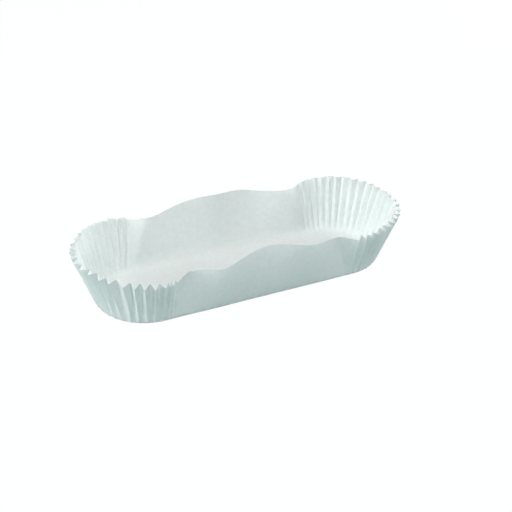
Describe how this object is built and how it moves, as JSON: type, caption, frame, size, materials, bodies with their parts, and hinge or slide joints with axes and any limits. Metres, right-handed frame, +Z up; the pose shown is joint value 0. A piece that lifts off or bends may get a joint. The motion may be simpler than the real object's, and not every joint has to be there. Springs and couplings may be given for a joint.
{
  "type": "cupcake liner",
  "caption": "Oval paper baking case pressed from one sheet, with pleated round ends, plain bowed sides and a flat base, open at the top.",
  "frame": {"origin": "centre of the flat base, on its underside", "axes": "+X along the length, +Y across the width, +Z up out of the open top"},
  "size_m": [0.1264, 0.0518, 0.0232],
  "materials": {
    "paper": "matt white greaseproof paper"
  },
  "bodies": {
    "root": {"liner": "paper"}
  },
  "joints": []
}
